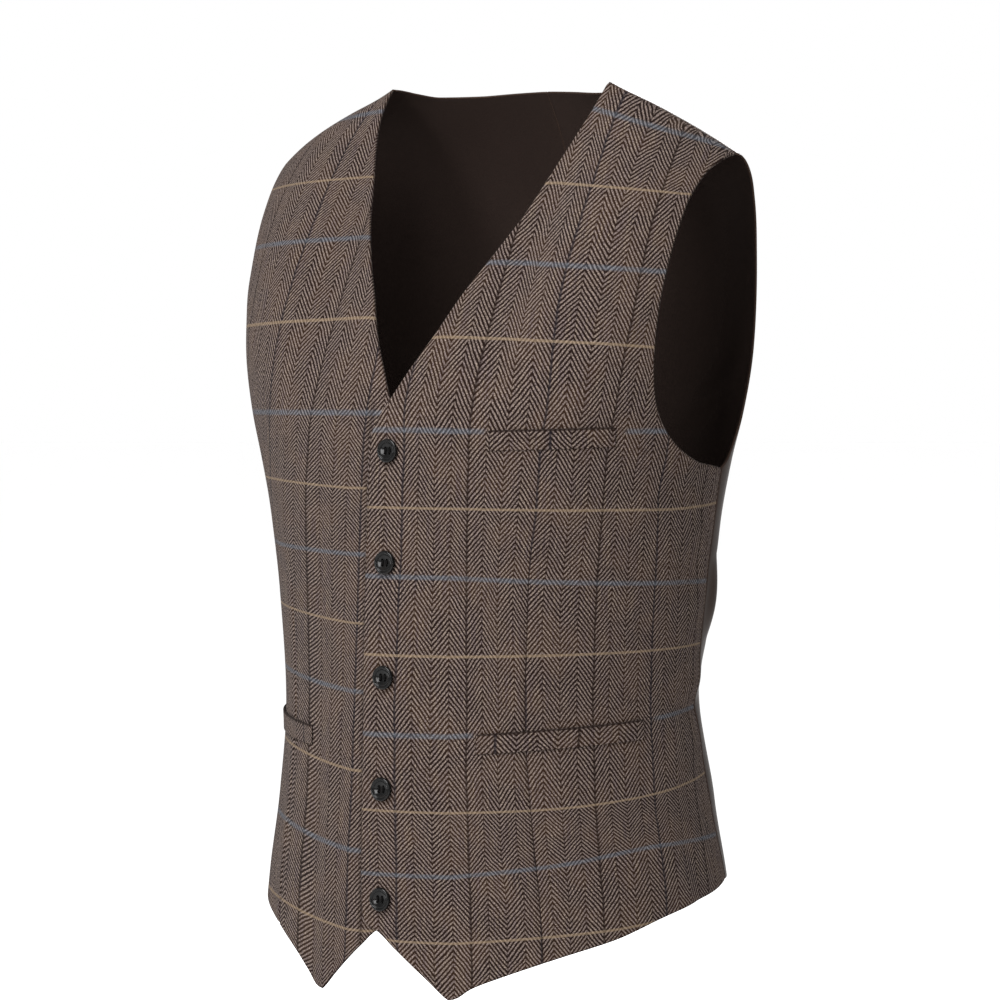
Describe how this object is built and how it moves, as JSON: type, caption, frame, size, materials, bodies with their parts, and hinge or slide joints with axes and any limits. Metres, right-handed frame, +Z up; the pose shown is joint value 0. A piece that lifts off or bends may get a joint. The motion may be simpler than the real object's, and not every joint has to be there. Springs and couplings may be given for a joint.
{
  "type": "suit waistcoat",
  "caption": "Single-breasted V-neck waistcoat in brown herringbone check tweed with a dark satin back, welt pockets and pointed fronts, in its worn, hollow form.",
  "frame": {"origin": "midway between the two points where the shoulder seams meet the neckline, where the wearer's shoulders carry it", "axes": "+Z up, -Y the way the wearer faces, +X the wearer's left"},
  "size_m": [0.374, 0.2599, 0.6166],
  "materials": {
    "tweed": "matt woollen herringbone twill with a windowpane check",
    "satin": "dark brown lining satin, soft sheen",
    "horn": "polished black horn-look plastic"
  },
  "bodies": {
    "root": {"left_front": "tweed", "right_front": "tweed", "back_left": "satin", "back_right": "satin", "chest_welt": "tweed", "left_welt": "tweed", "right_welt": "tweed", "button_1": "horn", "button_2": "horn", "button_3": "horn", "button_4": "horn", "button_5": "horn"}
  },
  "joints": []
}
